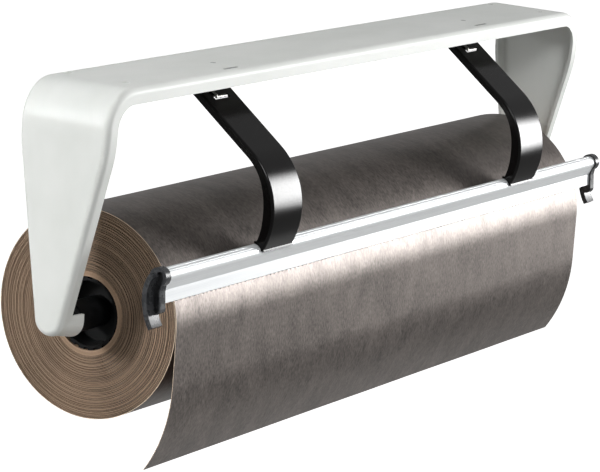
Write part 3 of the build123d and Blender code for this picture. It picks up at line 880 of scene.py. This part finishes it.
@dataclass
class PaperTail:
    """The free end of the sheet, which hangs in front of the roll.

    Args:
        drop: Straight stretch below the front of the roll, in millimetres.
        curl_radius: Radius of the curl that the roll leaves in the paper, in millimetres.
        paper: Thickness of the sheet, in millimetres.
        sag: Depth of the slow waves across the sheet, in millimetres.
        step: Distance between rows, in millimetres.
        columns: Faces across the sheet.
        lift: Room between the roll and the sheet, in millimetres.
        waves: Noise cells for each metre across and down the sheet.
        layer: Depth in the noise that the waves are read from, in cells.
        freeing: How soon the waves are full: 1 at the free edge, 2 halfway down.
        swell: Power by which they grow until then.
        crisp: Corner angle, in degrees, above which the rim's edges stay crisp.
    """

    drop: float = 31.0
    curl_radius: float = 94.0
    paper: float = 0.3
    sag: float = 0.5
    step: float = 1.6
    columns: int = 100
    lift: float = 0.5
    waves: tuple[float, float] = (7.0, 9.0)
    layer: float = 2.0
    freeing: float = 1.6
    swell: int = 2
    crisp: float = 60.0

    def __post_init__(self) -> None:
        """Reads the sheet's place from the frame."""
        self.low, self.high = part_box("paper_tail")
        roll_low, roll_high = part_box("paper_roll")
        self.axis = (roll_low + roll_high) / 2
        self.radius = (roll_high.z - roll_low.z) / 2 + self.lift * MM
        self.front = self.axis.y - self.radius

    def route(self) -> list[tuple[float, float]]:
        """Side view of the sheet: down the roll, straight down, then curling back.

        Returns:
            (y, z) points in metres, one row apart.
        """
        start = math.asin((self.high.z - self.axis.z) / self.radius)
        straight = self.drop * MM
        curl = self.curl_radius * MM
        fall = self.axis.z - straight - self.low.z
        lengths = (self.radius * start, straight, curl * math.asin(fall / curl))
        rows = round(sum(lengths) / (self.step * MM))
        runs = (sum(lengths) * row / rows for row in range(rows + 1))
        return [self.at(run, start, lengths, curl) for run in runs]

    def at(
        self, run: float, start: float, lengths: tuple[float, float, float], curl: float
    ) -> tuple[float, float]:
        """Point of the sheet at a distance from its top.

        Args:
            run: Distance along the sheet, in metres.
            start: Angle of the top above the front of the roll, in radians.
            lengths: Lengths of the wrapped, straight and curled stretches.
            curl: Radius of the curl, in metres.

        Returns:
            Its (y, z), in metres.
        """
        wrapped, straight = lengths[:2]
        if run < wrapped:
            turn = math.pi - start + run / self.radius
            return (
                self.axis.y + self.radius * math.cos(turn),
                self.axis.z + self.radius * math.sin(turn),
            )
        if run < wrapped + straight:
            return (self.front, self.axis.z - (run - wrapped))
        turn = (run - wrapped - straight) / curl
        return (
            self.front + curl * (1 - math.cos(turn)),
            self.axis.z - straight - curl * math.sin(turn),
        )

    def build(self) -> None:
        """Makes the sheet, with its printed face outside and bare kraft behind."""
        points = self.route()
        across, down = self.waves
        rows = []
        for number, (y, z) in enumerate(points):
            loose = min(1.0, number / len(points) * self.freeing) ** self.swell
            row = []
            for column in range(self.columns + 1):
                x = self.high.x + (self.low.x - self.high.x) * column / self.columns
                wave = noise.noise(Vector((x * across, z * down, self.layer)))
                row.append(Vector((x, y + abs(wave) * self.sag * MM * loose, z)))
            rows.append(row)
        grid = Grid()
        grid.strip(rows, SheetSlot.PRINT, closed=False)
        finishes = {
            SheetSlot.PRINT: WRAP_FACE,
            SheetSlot.KRAFT: WRAP_BACK,
            SheetSlot.EDGE: CUT_EDGE,
        }
        sheet = grid.piece("hanging_paper", [finishes[slot] for slot in SheetSlot])
        body = sheet.modifiers.new("paper_thickness", "SOLIDIFY")
        body.thickness = self.paper * MM
        body.offset = 0.0
        body.material_offset = SheetSlot.KRAFT
        body.material_offset_rim = SheetSlot.EDGE
        crisp = sheet.modifiers.new("crisp_rim", "EDGE_SPLIT")
        crisp.split_angle = math.radians(self.crisp)
        run = sum(math.dist(a, b) for a, b in zip(points, points[1:]))
        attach(sheet, Body.BRACKET.value)
        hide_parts("paper_tail")
        LOG.info("hanging paper is %.0f mm long", run / MM)


# ---------------------------------------------------------------- studio


@dataclass(frozen=True)
class Lamp:
    """An oval soft box, brightest at its middle.

    Args:
        name: Name of the lamp.
        place: Where it stands, in metres.
        aim: What it points at, in metres.
        size: Width and height, in metres.
        power: Watts, if all of it were as bright as its middle.
        core: Share of its radius that is evenly bright.
        spread: Angle that its louvres leave open, in degrees.
    """

    name: str
    place: tuple[float, float, float]
    aim: tuple[float, float, float]
    size: tuple[float, float]
    power: float
    core: float = 0.35
    spread: float = 180.0

    def feather(self, light: bpy.types.Light) -> None:
        """Fades the lamp's cloth towards its rim, so that reflections have soft ends.

        Args:
            light: The lamp, whose cloth runs from 0 to 1 both ways.
        """
        light.use_nodes = True
        tree = light.node_tree
        rim = 0.5  # reach of the cloth from its middle
        spot = add_node(tree, "ShaderNodeNewGeometry").outputs["Parametric"]
        middle = {1: (rim, rim, 0.0)}
        away = add_node(tree, "ShaderNodeVectorMath", middle, {0: spot}, operation="SUBTRACT")
        reach = add_node(
            tree, "ShaderNodeVectorMath", links={0: away.outputs["Vector"]}, operation="LENGTH"
        )
        level = add_node(
            tree,
            "ShaderNodeMapRange",
            {"From Min": rim, "From Max": rim * self.core, "To Min": 0.0, "To Max": 1.0},
            {"Value": reach.outputs["Value"]},
            interpolation_type="SMOOTHSTEP",
        )
        tree.links.new(level.outputs["Result"], tree.nodes["Emission"].inputs["Strength"])

    def build(self) -> None:
        """Hangs the lamp."""
        light = bpy.data.lights.new(self.name, "AREA")
        light.shape = "RECTANGLE"
        light.size, light.size_y = self.size
        light.energy = self.power
        light.spread = math.radians(self.spread)
        self.feather(light)
        made = bpy.data.objects.new(self.name, light)
        made.location = self.place
        made.rotation_mode = "QUATERNION"
        aim = Vector(self.aim) - Vector(self.place)
        made.rotation_quaternion = aim.to_track_quat("-Z", "Y")
        bpy.context.scene.collection.objects.link(made)


@dataclass
class Studio:
    """Pale floor far below, white surroundings and soft boxes.

    Args:
        floor_drop: How far the floor lies below the counter line, in metres.
        floor_width: Width of the floor, in metres.
        floor_colour: sRGB hex colour of the floor.
        floor_roughness: Micro-roughness of the floor.
        white: sRGB hex colour of the surroundings and of the floor's own light.
        fill: Level of the light from all round.
        glow: Light that the floor adds where the camera looks straight at it.
        lamps: A tall box beyond the right end, which streaks the paper and the arms, a small
            one behind the left end for the roll's end face, and one high in front.
    """

    floor_drop: float = 1.5
    floor_width: float = 40.0
    floor_colour: str = "#CFCFCE"
    floor_roughness: float = 0.9
    white: str = "#FFFFFF"
    fill: float = 0.36
    glow: float = 0.9
    lamps: tuple[Lamp, ...] = (
        Lamp("right_box", (2.2, -1.36, 0.21), (0.0, 0.0, -0.1), (1.05, 1.7), 150.0),
        Lamp("left_box", (-1.2, 0.72, 0.3), (-0.34, 0.0, -0.08), (0.5, 0.5), 1.35, spread=32.0),
        Lamp("top_box", (-0.75, -1.4, 1.3), (0.0, 0.0, -0.1), (1.0, 1.0), 42.0),
    )

    def build(self) -> None:
        """Builds the floor, the surroundings and the lamps."""
        self.floor()
        self.surroundings()
        for lamp in self.lamps:
            lamp.build()
        bpy.context.scene.view_settings.view_transform = "Standard"

    def floor(self) -> None:
        """Lays the pale floor, which shows white and still takes the shadow."""
        half = self.floor_width / 2
        mesh = bpy.data.meshes.new("studio_floor")
        corners = ((-half, -half), (half, -half), (half, half), (-half, half))
        mesh.from_pydata([(x, y, -self.floor_drop) for x, y in corners], [], [(0, 1, 2, 3)])
        material = bpy.data.materials.new("pale_floor")
        material.use_nodes = True
        tree = material.node_tree
        shader = tree.nodes["Principled BSDF"]
        values = {
            "Base Color": linear(self.floor_colour),
            "Roughness": self.floor_roughness,
            "Specular IOR Level": 0.0,
            "Emission Color": linear(self.white),
        }
        for socket, value in values.items():
            shader.inputs[socket].default_value = value
        seen = add_node(tree, "ShaderNodeLightPath").outputs["Is Camera Ray"]
        glow = add_node(tree, "ShaderNodeMath", {1: self.glow}, {0: seen}, operation="MULTIPLY")
        tree.links.new(glow.outputs[0], shader.inputs["Emission Strength"])
        mesh.materials.append(material)
        floor = bpy.data.objects.new("studio_floor", mesh)
        bpy.context.scene.collection.objects.link(floor)
        floor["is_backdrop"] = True

    def surroundings(self) -> None:
        """Fills the room with a plain even light, which the camera itself sees as white."""
        world = bpy.data.worlds.new("plain_room")
        world.use_nodes = True
        tree = world.node_tree
        back = tree.nodes["Background"]
        back.inputs["Color"].default_value = linear(self.white)
        seen = add_node(tree, "ShaderNodeLightPath").outputs["Is Camera Ray"]
        level = add_node(
            tree, "ShaderNodeMapRange", {"To Min": self.fill, "To Max": 1.0}, {"Value": seen}
        )
        tree.links.new(level.outputs["Result"], back.inputs["Strength"])
        bpy.context.scene.world = world


@dataclass
class PhotoCamera:
    """The camera where the photographer stood.

    Args:
        place: Lens position, in metres.
        azimuth: Turn about Z from looking along +Y, in degrees.
        elevation: Height of the view, in degrees.
        roll: Tilt of the picture, in degrees.
        focal: Focal length, in pixels.
        width: Width of the picture, in pixels.
        sensor: Width of the sensor, in millimetres.
        far: Farthest that the camera sees, in metres.
    """

    place: tuple[float, float, float] = (-1.6757, -1.0032, 0.2875)
    azimuth: float = -58.73
    elevation: float = 12.04
    roll: float = 4.12
    focal: float = 3090.6
    width: float = 600.0
    sensor: float = 36.0
    far: float = 100.0

    def build(self) -> None:
        """Sets up the scene's camera."""
        turned, raised, tilted = (
            math.radians(angle) for angle in (self.azimuth, self.elevation, self.roll)
        )
        level = math.cos(raised)
        back = Vector((math.sin(turned) * level, -math.cos(turned) * level, math.sin(raised)))
        across = (-back).cross(Vector((0, 0, 1))).normalized()
        up = across.cross(-back)
        right = across * math.cos(tilted) + up * math.sin(tilted)
        top = up * math.cos(tilted) - across * math.sin(tilted)
        lens = bpy.data.cameras.new("photo_camera")
        lens.sensor_width = self.sensor
        lens.lens = self.focal / self.width * lens.sensor_width
        lens.clip_end = self.far
        camera = bpy.data.objects.new("photo_camera", lens)
        turn = Matrix((right, top, back)).transposed()
        camera.matrix_world = Matrix.Translation(self.place) @ turn.to_4x4()
        bpy.context.scene.collection.objects.link(camera)
        bpy.context.scene.camera = camera


def write_sizes() -> None:
    """Works out the frame's box and the finished model's box as plain lists; they are not written
    anywhere.
    """
    boxes = {"cad": CAD_BOX, "visual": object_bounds()}
    plain = {name: [list(corner) for corner in box] for name, box in boxes.items()}


def main() -> None:
    """Builds the camera, the sub-assemblies and the studio in order."""
    logging.basicConfig(level=logging.INFO)
    for part in (PhotoCamera(), Bracket(), Hinges(), Cutter(), PaperRoll(), PaperTail(), Studio()):
        part.build()
        LOG.info("%s built", type(part).__name__)
    write_sizes()


if __name__ == "__main__":
    main()
